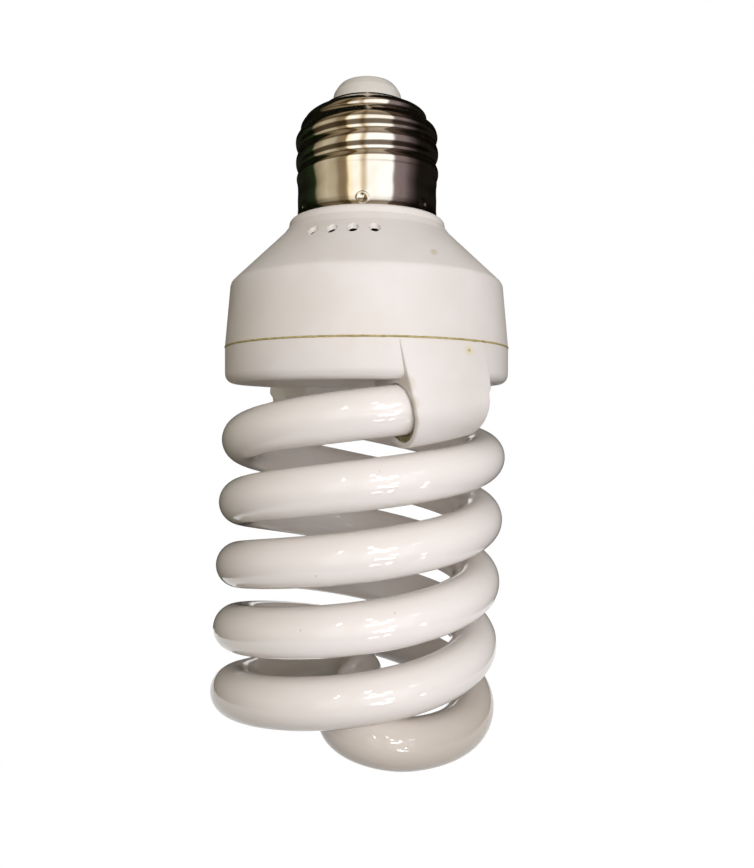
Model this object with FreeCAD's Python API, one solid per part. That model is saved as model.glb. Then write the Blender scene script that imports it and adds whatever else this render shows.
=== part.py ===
import FreeCAD, Part
import math
import os
from FreeCAD import Vector

# Spiral energy saving bulb with a screw cap, shown cap up. Sizes are in millimetres.
# The origin is the middle of the centre contact's top face, +Z points up, and the front of the bulb faces -Y.
# Azimuths are in degrees round the bulb's axis, 0 at the front and growing towards +X.

# Screw cap
contact_radius = 3.0
contact_flat_radius = 2.3
contact_height = 1.1
contact_rise = 0.6
insulator_edge_radius = 4.9
insulator_edge_drop = 0.5
insulator_base_radius = 6.5
insulator_flange_radius = 9.0
insulator_flange_thickness = 1.6
insulator_flange_drop = 2.3
contact_lead_hole_radius = 0.9
shell_top_drop = 4.5
shell_mouth_radius = 6.6
shell_thread_radius = 13.15
shell_skirt_radius = 12.85
shell_flare = 0.35
shell_sheet = 0.35
shell_dome_height = 6.1
shell_dome_bulge = 1.47
thread_length = 7.65
thread_depth = 1.0
skirt_step = 0.6
skirt_length = 6.85

# Upper housing
neck_clearance = 0.15
neck_depth_in_cap = 15.4
cover_wall = 1.1
cap_seat_gap = 0.05
shoulder_overhang = 1.45
shoulder_rounding = 0.8
shoulder_height = 2.85
cone_overhang = 1.2
cone_height = 9.2
cone_foot_inset = 1.05
cone_edge_rounding = 1.2
cover_height = 23.35
vent_radius = 1.0
vent_reach = 2.1
vent_first_azimuth = -31.0
vent_pitch = 11.7
vents_per_side = 4

# Lower housing, with a horn for each end of the tube
seam_gap = 0.25
ring_height = 6.35
ring_rounding = 1.4
plate_thickness = 1.6
ring_wall = 1.8
spigot_wall = 1.2
spigot_height = 3.0
spigot_clearance = 0.1
horn_wall = 1.0
horn_reach = 4.05
horn_mouth_azimuth = 13.0
horn_mouth_facing = 27.0
horn_end_azimuth = 49.0
horn_top_lean = 1.6
horn_bottom_sides = 6
channel_runs = 5
lead_hole_radius = 3.2
lead_hole_ahead = 8.0
post_radius = 1.5
post_ring_radius = 17.5
post_azimuths = (105.0, 150.0, 285.0, 330.0)

# Spiral tube: two strands half a turn apart, joined by an S-bend at the foot
tube_radius = 4.12
coil_radius = 22.0
coil_pitch = 22.67
coil_drop = 6.2
tube_end_azimuth = 33.0
limb_turns = 2.25
bend_run_on = 62.3
bend_radius = 8.1
bend_ease_length = 46.6
crossing_rise = 4.3
runs_per_turn = 18
bend_runs = 11
sealed_end_length = 3.0
sealed_end_radius = 2.2
coil_lean_back = -2.0
coil_lean_side = 2.5
coil_shift = -0.3
channel_clearance = 0.73
cement_setback = 0.9
cement_end_azimuth = 36.0

# Ballast inside the housing. Its parts are laid out in steps of the board, about a millimetre each.
board_margin = 3.75
board_steps = 22.3
board_thickness = 1.6
board_height_over_plate = 6.2
lead_radius = 0.3
lead_exit_ahead = 9.5
live_lead_radius = 0.45
neutral_lead_radius = 0.4
capacitor_radius = 5.0
capacitor_length = 17.0
capacitor_place = (4.0, 4.4)
capacitor_bevel = 0.5
stand_off = 0.9
choke_width = 13.0
choke_depth = 6.0
choke_height = 12.0
choke_place = (-9.0, -1.0)
choke_leg = 3.6
choke_yoke = 1.8
bobbin_wall = 0.6
winding_build = 2.0
bobbin_play = 0.2
toroid_outer = 4.8
toroid_inner = 2.6
toroid_height = 3.0
toroid_place = (10.5, -8.5)
toroid_wrap = 0.5
transistor_size = (7.6, 2.8, 10.0)
transistor_leg = 2.5
transistor_place = (-1.0, -12.0)
transistor_pitch = 4.4
diode_radius = 1.35
diode_length = 5.0
diode_pitch = 3.0
diode_place = (13.2, 12.6)
film_capacitor_size = (10.0, 4.4, 8.6)
film_capacitor_place = (-12.5, 9.8)
coupling_capacitor_size = (9.0, 4.6, 7.6)
coupling_capacitor_place = (-12.0, -12.0)
fuse_radius = 1.7
fuse_length = 9.5
fuse_place = (16.8, -0.6)
drum_radius = 4.0
drum_height = 8.5
drum_flange = 1.1
drum_waist_radius = 1.8
drum_winding_inset = 0.5
drum_place = (-4.5, 15.2)
small_part_radius = 0.95
small_part_length = 3.6
diac_place = (6.8, -16.0)
resistor_place = (1.4, -7.8)
resistor_pitch = 2.4
live_lead_place = (-1.5, -5.0)
neutral_lead_place = (-2.0, 9.8)
pin_side = 0.8
pin_length = 4.2
pin_azimuths = (34.0, 50.0)
pin_inset = 2.7


def radial(azimuth, radius, z=0.0):
    """A point at an azimuth from the front, at a radius from the bulb's axis."""
    a = math.radians(azimuth)
    return Vector(radius * math.sin(a), -radius * math.cos(a), z)


def turned(points):
    """A solid of revolution about Z from a closed outline of (r, z) points."""
    corners = [Vector(r, 0, z) for r, z in points + points[:1]]
    face = Part.Face(Part.makePolygon(corners))
    return face.revolve(Vector(0, 0, 0), Vector(0, 0, 1), 360)


def rounding(corner, before, after, radius):
    """Points of two short chamfers that round a corner between two straight sides, all as (r, z)."""
    c = Vector(corner[0], 0, corner[1])
    u = (Vector(before[0], 0, before[1]) - c).normalize()
    v = (Vector(after[0], 0, after[1]) - c).normalize()
    half = u.getAngle(v) / 2
    reach = radius / math.tan(half)
    middle = c + (u + v).normalize() * (radius / math.sin(half) - radius)
    start = c + u * reach
    end = c + v * reach
    return [(start.x, start.z), (middle.x, middle.z), (end.x, end.z)]


def ring(outer, inner, bottom, height):
    body = Part.makeCylinder(outer, height, Vector(0, 0, bottom))
    return body.cut(Part.makeCylinder(inner, height, Vector(0, 0, bottom)))


def block(centre, size):
    """A box standing on its centre point."""
    corner = Vector(centre[0] - size[0] / 2, centre[1] - size[1] / 2, centre[2])
    return Part.makeBox(size[0], size[1], size[2], corner)


def rod(start, end, radius):
    start, end = Vector(start), Vector(end)
    return Part.makeCylinder(radius, (end - start).Length, start, end - start)


def wire_along(points, radius):
    """A thin wire along straight runs with mitred bends, drawn six-sided because it is so thin."""
    path = Part.makePolygon([Vector(p) for p in points])
    edge = path.Edges[0]
    direction = edge.tangentAt(edge.FirstParameter)
    side = direction.cross(Vector(0.3, 0.9, 0.1)).normalize() * radius
    corners = [
        Vector(points[0]) + FreeCAD.Rotation(direction, 60.0 * i).multVec(side) for i in range(7)]
    return path.makePipeShell([Part.makePolygon(corners)], True, False, 1)


def tube_runs(points, radius):
    """Straight round runs from corner to corner, each cut along the mitres at its two ends."""
    runs = []
    last = len(points) - 1
    for i in range(last):
        here, there = points[i], points[i + 1]
        along = (there - here).normalize()
        before = (here - points[i - 1]).normalize() if i > 0 else along
        after = (points[i + 2] - there).normalize() if i < last - 1 else along
        run = Part.makeCylinder(radius, (there - here).Length + 2 * radius, here - along * radius, along)
        run = run.common(half_space(here, along + before, 8 * radius))
        runs.append(run.common(half_space(there, -along - after, 8 * radius)))
    return runs


def mitred_tube(points, radius):
    """One solid from the outer faces of all the runs, closed by the flat faces at the two ends."""
    runs = tube_runs(points, radius)
    faces = [f for run in runs for f in run.Faces if isinstance(f.Surface, Part.Cylinder)]
    for run, end in ((runs[0], points[0]), (runs[-1], points[-1])):
        flat = [f for f in run.Faces if isinstance(f.Surface, Part.Plane)]
        faces.append(min(flat, key=lambda f: f.CenterOfMass.distanceToPoint(end)))
    shell = Part.makeShell(faces)
    shell.sewShape()
    return Part.makeSolid(shell)


def half_space(point, normal, size=120.0):
    """A large block that fills the side of a plane that its normal points to."""
    normal = Vector(normal).normalize()
    side = Part.makeBox(size, size, size, Vector(-size / 2, -size / 2, 0))
    side.Placement = FreeCAD.Placement(Vector(point), FreeCAD.Rotation(Vector(0, 0, 1), normal))
    return side


def opposite(shape):
    """The same shape half a turn further round the bulb's axis."""
    copy = shape.copy()
    copy.rotate(Vector(0, 0, 0), Vector(0, 0, 1), 180)
    return copy


# Sizes that follow from the others
housing_radius = coil_radius + horn_reach
shell_thread_top = -shell_top_drop - shell_dome_height
shell_skirt_top = shell_thread_top - thread_length - skirt_step
shell_rim = shell_skirt_top - skirt_length
cover_top = shell_rim - cap_seat_gap
cone_top = cover_top - shoulder_height
cone_foot = cone_top - cone_height
cover_rim = cover_top - cover_height
ring_top = cover_rim - seam_gap
plate_bottom = ring_top - ring_height
plate_top = plate_bottom + plate_thickness
coil_start = plate_bottom - coil_drop
board_bottom = plate_top + board_height_over_plate
board_top = board_bottom + board_thickness
neck_radius = shell_skirt_radius - shell_sheet - neck_clearance
neck_top_radius = min(neck_radius, shell_thread_radius - thread_depth - shell_sheet - neck_clearance)
bore_radius = neck_top_radius - cover_wall
shoulder_radius = shell_skirt_radius + shoulder_overhang
cone_top_radius = shoulder_radius + cone_overhang
cone_foot_radius = housing_radius - cone_foot_inset
board_radius = housing_radius - board_margin
board_step = board_radius / board_steps
pin_ring_radius = board_radius - pin_inset
channel_radius = tube_radius + channel_clearance
horn_radius = channel_radius + horn_wall
coil_slope = coil_pitch / (2 * math.pi * coil_radius)
spigot_radius = housing_radius - cover_wall - spigot_clearance


def make_contact():
    return turned([
        (0, 0), (contact_flat_radius, 0), (contact_radius, -contact_rise * 0.4),
        (contact_radius, -contact_height), (0, -contact_height)])


def make_insulator():
    """White bead: a tapered button outside the shell and a flange that seats under the shell's mouth."""
    top = -contact_rise
    seat = -shell_top_drop - shell_sheet
    flange_top = seat - insulator_flange_drop
    flange_bottom = flange_top - insulator_flange_thickness
    return turned([
        (contact_lead_hole_radius, -contact_height), (contact_radius, -contact_height), (contact_radius, top),
        (insulator_edge_radius, top), (insulator_edge_radius + 0.5, top - insulator_edge_drop),
        (insulator_edge_radius + 1.2, top - insulator_edge_drop * 3),
        (insulator_base_radius, -shell_top_drop + 0.9),
        (insulator_base_radius, seat - 0.9), (insulator_flange_radius, flange_top),
        (insulator_flange_radius, flange_bottom), (contact_lead_hole_radius, flange_bottom)])


def shell_side(inset):
    """The shell's profile from its mouth to its rim, moved inwards by the sheet's thickness."""
    mouth = (shell_mouth_radius, -shell_top_drop - inset)
    thread = (shell_thread_radius - inset, shell_thread_top)
    across = ((mouth[0] + thread[0]) / 2, (mouth[1] + thread[1]) / 2)
    run = Vector(thread[0] - mouth[0], 0, thread[1] - mouth[1])
    reach = run.Length
    run.normalize()
    dome = []
    for place in (-0.27, 0.0, 0.27):
        rise = shell_dome_bulge * (1 - 4 * place ** 2)
        along = place * reach
        dome.append((across[0] + run.x * along - run.z * rise, across[1] + run.z * along + run.x * rise))
    return [
        mouth, *dome, thread, (shell_thread_radius - inset, shell_thread_top - thread_length),
        (shell_skirt_radius - inset, shell_skirt_top),
        (shell_skirt_radius - inset, shell_rim + skirt_length / 5),
        (shell_skirt_radius + shell_flare - inset, shell_rim)]


def make_shell():
    """Rolled brass shell of even sheet, plain at the size of the thread's crests."""
    outer = turned([(0, -shell_top_drop)] + shell_side(0.0) + [(0, shell_rim)])
    inner = turned([(0, -shell_top_drop)] + shell_side(shell_sheet) + [(0, shell_rim)])
    shell = outer.cut(inner)
    depth = shell_sheet * 2
    return shell.cut(Part.makeCylinder(shell_mouth_radius, depth, Vector(0, 0, -shell_top_drop - depth)))


def make_cover():
    """Upper housing: stepped neck in the cap, rounded shoulder, cone and drafted wall, open at the foot."""
    neck_top = cover_top + neck_depth_in_cap
    neck_step = shell_skirt_top - skirt_step
    inner_rim = housing_radius - cover_wall
    inner_foot = cone_foot_radius - cover_wall
    slope = Vector(cone_foot_radius - cone_top_radius, 0, -cone_height).normalize()
    inward = Vector(slope.z, 0, -slope.x) * cover_wall
    inner_slope = slope.z / slope.x
    inner_top_radius = cone_top_radius + inward.x
    inner_start_z = cone_top + inward.z + (bore_radius - inner_top_radius) * inner_slope
    inner_foot_z = cone_top + inward.z + (inner_foot - inner_top_radius) * inner_slope
    corner = (shoulder_radius, cover_top)
    ledge = rounding(corner, (neck_radius, cover_top), (shoulder_radius, cone_top), shoulder_rounding)
    corner = (cone_foot_radius, cone_foot)
    edge = rounding(corner, (cone_top_radius, cone_top), (housing_radius, cover_rim), cone_edge_rounding)
    cover = turned([
        (bore_radius, neck_top), (neck_top_radius, neck_top), (neck_top_radius, neck_step),
        (neck_radius, neck_step), (neck_radius, cover_top), *ledge,
        (shoulder_radius + cone_overhang * 0.15, cover_top - shoulder_height / 2),
        (cone_top_radius, cone_top), *edge, (housing_radius, cover_rim), (inner_rim, cover_rim),
        (inner_rim, cover_rim + spigot_height + 0.5), (inner_foot, inner_foot_z), (bore_radius, inner_start_z)])
    for side in range(2):
        for i in range(vents_per_side):
            azimuth = vent_first_azimuth + vent_pitch * i + 180.0 * side
            start = radial(azimuth, cone_top_radius + vent_reach, cone_top - cone_height * 0.7)
            cover = cover.cut(Part.makeCylinder(vent_radius, cone_height, start))
    return cover


def horn_frame():
    """The middle of the horn on the coil's axis, the way out, and the axis that the horn bends about."""
    middle = (horn_mouth_azimuth + horn_end_azimuth) / 2
    origin = Vector(0, 0, coil_start + coil_pitch * middle / 360)
    out = radial(middle, 1.0)
    along = radial(middle + 90, 1.0)
    lean = math.atan(coil_slope)
    axis = Vector(0, 0, 1) * math.cos(lean) - along * math.sin(lean)
    return middle, origin, out, axis


def bent_bar(section, first_azimuth, last_azimuth):
    """A section drawn in the horn's middle plane, carried round its bend from one azimuth to the other."""
    middle, origin, out, axis = horn_frame()
    section = section.copy()
    section.rotate(origin, axis, first_azimuth - middle)
    return section.revolve(origin, axis, last_azimuth - first_azimuth)


def horn_point(distance, height):
    middle, origin, out, axis = horn_frame()
    return origin + out * distance + axis * height


def horn_channel():
    """The round channel that takes a tube end, in straight runs along its bend, open at the horn's mouth."""
    middle, origin, out, axis = horn_frame()
    first = horn_mouth_azimuth - 15
    last = horn_end_azimuth - math.degrees(horn_wall / coil_radius)
    points = []
    for i in range(channel_runs + 1):
        turn = first + (last - first) * i / channel_runs - middle
        points.append(origin + FreeCAD.Rotation(axis, turn).multVec(out * coil_radius))
    return mitred_tube(points, channel_radius)


def mouth_side(setback=0.0):
    """Everything behind the horn's mouth, which faces along the tube."""
    lean = math.atan(coil_slope)
    along = radial(horn_mouth_facing + 90, 1.0)
    normal = along * math.cos(lean) + Vector(0, 0, math.sin(lean))
    point = radial(horn_mouth_azimuth, coil_radius, coil_start + coil_pitch * horn_mouth_azimuth / 360)
    return half_space(point + normal * setback, normal)


def horn_body():
    """The horn's outside: a trough under the tube, with sides that run up into the ring."""
    top = ring_top - coil_start
    left, right = coil_radius - horn_radius, coil_radius + horn_radius
    corners = [(left, 0), (left, top), (right - horn_top_lean, top), (right, 0)]
    for i in range(1, horn_bottom_sides):
        a = math.pi * i / horn_bottom_sides
        corners.append((coil_radius + horn_radius * math.cos(a), -horn_radius * math.sin(a)))
    points = [horn_point(d, h) for d, h in corners]
    face = Part.Face(Part.makePolygon(points + points[:1]))
    bar = bent_bar(face, horn_mouth_azimuth - 15, horn_end_azimuth + 15)
    bar = bar.common(mouth_side())
    bar = bar.common(half_space(radial(horn_end_azimuth, 1.0), radial(horn_end_azimuth - 90, 1.0)))
    return bar.common(half_space(Vector(0, 0, ring_top), Vector(0, 0, -1)))


def make_holder():
    """Lower housing: a shallow cup with a spigot in the upper one, two moulded horns and posts for the board."""
    corner = (housing_radius, plate_bottom)
    floor_edge = rounding(corner, (0, plate_bottom), (housing_radius, ring_top), ring_rounding)
    spigot_top = ring_top + seam_gap + spigot_height
    cavity_radius = housing_radius - ring_wall
    spigot_root = ring_top - 1.2
    outside = turned([
        (0, plate_bottom), *floor_edge, (housing_radius, ring_top),
        (spigot_radius, ring_top), (spigot_radius, spigot_top), (0, spigot_top)])
    cavity = turned([
        (0, plate_top), (cavity_radius, plate_top), (cavity_radius, spigot_root - 1.2),
        (spigot_radius - spigot_wall, spigot_root), (spigot_radius - spigot_wall, spigot_top),
        (0, spigot_top)])
    horn = horn_body()
    channel = horn_channel().common(mouth_side(-2.0))
    foot = radial(tube_end_azimuth + lead_hole_ahead, coil_radius, coil_start + channel_radius * 0.6)
    lead_hole = Part.makeCylinder(lead_hole_radius, plate_top - coil_start, foot)
    lead_hole = lead_hole.common(half_space(Vector(0, 0, plate_top), Vector(0, 0, -1)))
    channel = channel.fuse(lead_hole)
    holder = outside.fuse([horn, opposite(horn)]).cut([cavity, channel, opposite(channel)])
    sunk = plate_top - 0.2
    posts = [
        Part.makeCylinder(post_radius, board_bottom - sunk, radial(a, post_ring_radius, sunk))
        for a in post_azimuths]
    return holder.fuse(posts).removeSplitter()


def make_seam_adhesive():
    """A thin bead of glue between the two housings' rims."""
    return ring(housing_radius + 0.04, spigot_radius + spigot_clearance, ring_top, seam_gap)


def coil_height(turn_angle):
    """Height of a strand by its own angle, -90 degrees where it leaves its horn's side of the bulb."""
    return coil_start + coil_pitch * (turn_angle + math.pi / 2) / (2 * math.pi)


def coil_points():
    """Corners of the tube's centre line, from one sealed end to the other."""
    turn_start = -math.pi / 2 - limb_turns * 2 * math.pi - math.radians(bend_run_on)
    centre_distance = coil_radius - bend_radius
    straight = math.sqrt(centre_distance ** 2 - bend_radius ** 2)
    turn_sweep = math.pi - math.atan2(straight, bend_radius)
    level_run = bend_ease_length - bend_radius * turn_sweep - straight
    ease_start = turn_start + level_run / coil_radius
    ease_height = coil_height(ease_start)
    crossing = coil_height(turn_start) + crossing_rise

    def plan(s):
        if s <= level_run:
            a = ease_start - s / coil_radius
            return -coil_radius * math.cos(a), -coil_radius * math.sin(a)
        cx = -centre_distance * math.cos(turn_start)
        cy = -centre_distance * math.sin(turn_start)
        a = turn_start - min((s - level_run) / bend_radius, turn_sweep)
        x, y = cx - bend_radius * math.cos(a), cy - bend_radius * math.sin(a)
        left = min(1.0, (bend_ease_length - s) / straight)
        return x * left, y * left

    def height(s):
        t = s / bend_ease_length
        fall = -coil_slope * bend_ease_length
        return ((2 * t ** 3 - 3 * t ** 2 + 1) * ease_height + (t ** 3 - 2 * t ** 2 + t) * fall
                + (3 * t ** 2 - 2 * t ** 3) * crossing)

    tube_end = math.radians(tube_end_azimuth) - math.pi / 2
    runs = round((tube_end - ease_start) / (2 * math.pi) * runs_per_turn)
    step = (tube_end - ease_start) / runs
    corner_radius = coil_radius * (1 + (1 - math.cos(step / 2)) / 2)
    strand = []
    for i in range(runs):
        a = tube_end - step * i
        strand.append(Vector(-corner_radius * math.cos(a), -corner_radius * math.sin(a), coil_height(a)))
    for i in range(bend_runs):
        s = bend_ease_length * i / bend_runs
        strand.append(Vector(*plan(s), height(s)))
    other = [Vector(-p.x, -p.y, p.z) for p in reversed(strand)]
    return strand + [Vector(0, 0, crossing)] + other


def sealed_end(point, inner):
    """A tapered glass end beyond the last corner of the tube."""
    return Part.makeCone(tube_radius, sealed_end_radius, sealed_end_length, point, point - inner)


def coil_placement():
    """The coil was cemented in a little crooked: it leans about the middle of its start."""
    pivot = Vector(coil_shift, 0, coil_start)
    back = FreeCAD.Rotation(Vector(1, 0, 0), coil_lean_back)
    side = FreeCAD.Rotation(Vector(0, 1, 0), coil_lean_side)
    return FreeCAD.Placement(pivot, side.multiply(back)).multiply(
        FreeCAD.Placement(Vector(0, 0, -coil_start), FreeCAD.Rotation()))


def make_tube(points):
    """One glass tube: every turn is a chain of short straight runs with mitred joints."""
    tube = mitred_tube(points, tube_radius)
    tube = tube.fuse([sealed_end(points[0], points[1]), sealed_end(points[-1], points[-2])])
    tube.Placement = coil_placement()
    return tube


def make_cement(tube):
    """Cement that fills the horns' channels round the tube's ends, set back a little from the mouths."""
    plug = horn_channel().common(mouth_side(cement_setback))
    plug = plug.common(half_space(radial(cement_end_azimuth, 1.0), radial(cement_end_azimuth - 90, 1.0)))
    return Part.makeCompound([plug.cut(tube), opposite(plug).cut(tube)])


def make_board():
    return Part.makeCylinder(board_radius, board_thickness, Vector(0, 0, board_bottom))


def board_spot(x, y, rise=0.0):
    """A point over the board, given in its steps, at a height above its top face."""
    return Vector(x * board_step, y * board_step, board_top + rise)


def board_block(x, y, rise, size):
    """A box on the board: its plan is in steps, its height in millimetres."""
    return block(board_spot(x, y, rise), (size[0] * board_step, size[1] * board_step, size[2]))


def board_post(x, y, rise, radius, height):
    """An upright cylinder on the board, with its plan in steps."""
    return Part.makeCylinder(radius * board_step, height, board_spot(x, y, rise))


def board_leg(x, y, height):
    """A part's straight lead, from the board's top face up."""
    return Part.makeCylinder(lead_radius, height, board_spot(x, y))


def make_bulk_capacitor():
    """Electrolytic can with a bevelled top, standing on its two leads."""
    x, y = capacitor_place
    can = board_post(x, y, stand_off, capacitor_radius, capacitor_length)
    rims = [e for e in can.Edges if isinstance(e.Curve, Part.Circle)]
    can = can.makeChamfer(capacitor_bevel, rims)
    reach = capacitor_radius / 2
    return can.fuse([board_leg(x + sign * reach, y, stand_off + capacitor_bevel) for sign in (-1, 1)])


def choke_box(width, depth, bottom, height):
    return board_block(choke_place[0], choke_place[1], bottom, (width, depth, height))


def choke_window_height():
    return choke_height - 2 * choke_yoke


def make_choke_core():
    """A pair of E cores: a frame with a middle leg."""
    core = choke_box(choke_width, choke_depth, 0, choke_height)
    window = choke_box(
        choke_width - 2 * choke_yoke, choke_depth, choke_yoke, choke_window_height())
    leg = choke_box(choke_leg, choke_depth, choke_yoke, choke_window_height())
    return core.cut(window.cut(leg))


def make_choke_bobbin():
    """Bobbin round the middle leg, with a flange at each end of the window."""
    bottom = choke_yoke
    height = choke_window_height()
    width = choke_leg + 2 * bobbin_wall
    depth = choke_depth + 2 * bobbin_wall
    flange_width = choke_width - 2 * choke_yoke - bobbin_play
    flange_depth = depth + 2 * (winding_build + bobbin_play)
    bobbin = choke_box(width, depth, bottom, height)
    bobbin = bobbin.fuse([
        choke_box(flange_width, flange_depth, bottom, bobbin_wall),
        choke_box(flange_width, flange_depth, bottom + height - bobbin_wall, bobbin_wall)])
    return bobbin.cut(choke_box(choke_leg, choke_depth, bottom, height)).removeSplitter()


def make_choke_winding():
    bottom = choke_yoke + bobbin_wall
    height = choke_window_height() - 2 * bobbin_wall
    width = choke_leg + 2 * bobbin_wall
    depth = choke_depth + 2 * bobbin_wall
    build = min(winding_build, (choke_width - 2 * choke_yoke - width - bobbin_play) / 2)
    outside = choke_box(width + 2 * build, depth + 2 * build, bottom, height)
    uprights = [e for e in outside.Edges if abs(e.tangentAt(0).z) > 0.9]
    outside = outside.makeFillet(build * board_step * 0.8, uprights)
    return outside.cut(choke_box(width, depth, bottom, height))


def make_toroid():
    x, y = toroid_place
    outside = board_post(x, y, toroid_wrap, toroid_outer, toroid_height)
    return outside.cut(board_post(x, y, toroid_wrap, toroid_inner, toroid_height))


def make_toroid_windings(toroid):
    """Three short windings round the drive core."""
    x, y = toroid_place
    middle = (toroid_outer + toroid_inner) / 2
    across = toroid_outer - toroid_inner + 2.8 * toroid_wrap
    size = (across, toroid_outer / 2, toroid_height + 2 * toroid_wrap)
    wraps = []
    for i in range(3):
        wrap = board_block(x + middle, y, 0, size)
        wrap.rotate(board_spot(x, y), Vector(0, 0, 1), 120.0 * i + 30)
        wraps.append(wrap.cut(toroid))
    return Part.makeCompound(wraps)


def make_transistors():
    """Two power transistors on their legs, back to back near the front of the board."""
    parts = []
    x, first_y = transistor_place
    width, depth, height = transistor_size
    for y in (first_y, first_y - transistor_pitch):
        body = board_block(x, y, transistor_leg, transistor_size)
        hole_height = transistor_leg + height * 0.72
        hole = rod(board_spot(x, y - depth, hole_height), board_spot(x, y + depth, hole_height), width / 5)
        body = body.cut(hole)
        for i in (-1, 0, 1):
            leg_size = (width / 11, depth / 5.5, transistor_leg + height / 30)
            body = body.fuse(board_block(x + i * width * 0.3, y, 0, leg_size))
        parts.append(body)
    return Part.makeCompound(parts)


def axial_part(x, y, turn, radius, length):
    """A small round part lying on the board, with its leads bent down to it."""
    radius = radius * board_step
    half = length * board_step / 2
    reach = half + lead_radius * 4
    z = board_top + radius
    shape = rod((-half, 0, z), (half, 0, z), radius)
    for sign in (-1, 1):
        foot = (sign * reach, 0, board_top)
        lead = wire_along([(sign * (half - lead_radius), 0, z), (sign * reach, 0, z), foot], lead_radius)
        shape = shape.fuse(lead)
    shape.rotate(Vector(0, 0, 0), Vector(0, 0, 1), turn)
    shape.translate(Vector(x * board_step, y * board_step, 0))
    return shape


def make_diodes():
    x, y = diode_place
    return Part.makeCompound([
        axial_part(x, y - diode_pitch * i, 0.0, diode_radius, diode_length) for i in range(4)])


def make_base_resistors():
    x, y = resistor_place
    return Part.makeCompound([
        axial_part(x + resistor_pitch * i, y, 90.0, small_part_radius, small_part_length) for i in range(2)])


def make_film_capacitor(place, size):
    """A dipped film capacitor with rounded corners, on two short leads."""
    x, y = place
    width, depth, height = size
    body = board_block(x, y, stand_off, size)
    edges = [e for e in body.Edges if abs(e.tangentAt(0).y) > 0.9]
    body = body.makeFillet(min(width * board_step, height) * 0.2, edges)
    return body.fuse([board_leg(x + sign * width * 0.3, y, stand_off * 1.5) for sign in (-1, 1)])


def make_fuse():
    """Upright fusible resistor in its sleeve, one lead looped back to the board."""
    x, y = fuse_place
    loop_y = y - fuse_radius * 1.7
    top = stand_off + fuse_length
    body = board_post(x, y, stand_off, fuse_radius, fuse_length)
    lead = wire_along([
        board_spot(x, y, top - lead_radius), board_spot(x, y, top + stand_off),
        board_spot(x, loop_y, top + stand_off), board_spot(x, loop_y)], lead_radius)
    return body.fuse([lead, board_leg(x, y, stand_off * 1.3)])


def make_drum_core():
    """Drum core of the line choke."""
    x, y = drum_place
    waist = drum_height - 2 * drum_flange
    return board_post(x, y, 0, drum_radius, drum_flange).fuse([
        board_post(x, y, drum_flange, drum_waist_radius, waist),
        board_post(x, y, drum_flange + waist, drum_radius, drum_flange)])


def make_drum_winding():
    x, y = drum_place
    waist = drum_height - 2 * drum_flange
    outside = board_post(x, y, drum_flange, drum_radius - drum_winding_inset, waist)
    return outside.cut(board_post(x, y, drum_flange, drum_waist_radius, waist))


def make_pins():
    """Four pins under the board that the tube's leads are wrapped on."""
    pins = []
    for side in (0, 180):
        for azimuth in pin_azimuths:
            spot = radial(azimuth + side, pin_ring_radius, board_bottom - pin_length)
            pins.append(block(spot, (pin_side, pin_side, pin_length)))
    return Part.makeCompound(pins)


def make_filament_leads(tube, pins):
    """Two thin wires from each sealed end of the tube up to its pins."""
    place = coil_placement()
    exit_azimuth = tube_end_azimuth + lead_exit_ahead
    wires = []
    for side in (0, 1):
        end_height = coil_start + coil_pitch * exit_azimuth / 360
        end = place.multVec(radial(exit_azimuth + 180 * side, coil_radius, end_height))
        for shift, azimuth in ((-1.3, pin_azimuths[0]), (1.3, pin_azimuths[1])):
            across = radial(tube_end_azimuth + 90 + 180 * side, shift)
            spot = radial(azimuth + 180 * side, pin_ring_radius, board_bottom - pin_length * 0.6)
            start = end + across * 0.5
            above = Vector(start.x, start.y, plate_top + 1.0)
            wire = wire_along([start, above, spot], lead_radius)
            wires.append(wire.cut([tube, pins]))
    return Part.makeCompound([max(w.Solids, key=lambda s: s.Volume) for w in wires])


def make_live_lead():
    """Wire from the board up the neck to the centre contact."""
    foot = board_spot(*live_lead_place)
    return wire_along(
        [foot, Vector(foot.x, foot.y, cone_top), (0, 0, cover_top + neck_depth_in_cap / 2),
         (0, 0, -contact_height)], live_lead_radius)


def make_neutral_lead(shell):
    """Wire from the board up the neck and over its edge to the inside of the shell."""
    over = cover_top + neck_depth_in_cap + 0.6
    x_foot, y_foot = neutral_lead_place
    x = -bore_radius + 1.2
    wire = wire_along([
        board_spot(x_foot, y_foot), board_spot(x_foot, y_foot, transistor_leg),
        board_spot(x_foot, y_foot - 1.2, cone_top - cone_height * 0.4 - board_top),
        (x, 0, cover_top + 2.0), (x, 0, over), (-shell_thread_radius, 0, over)], neutral_lead_radius)
    return max(wire.cut(shell).Solids, key=lambda s: s.Volume)


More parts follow.
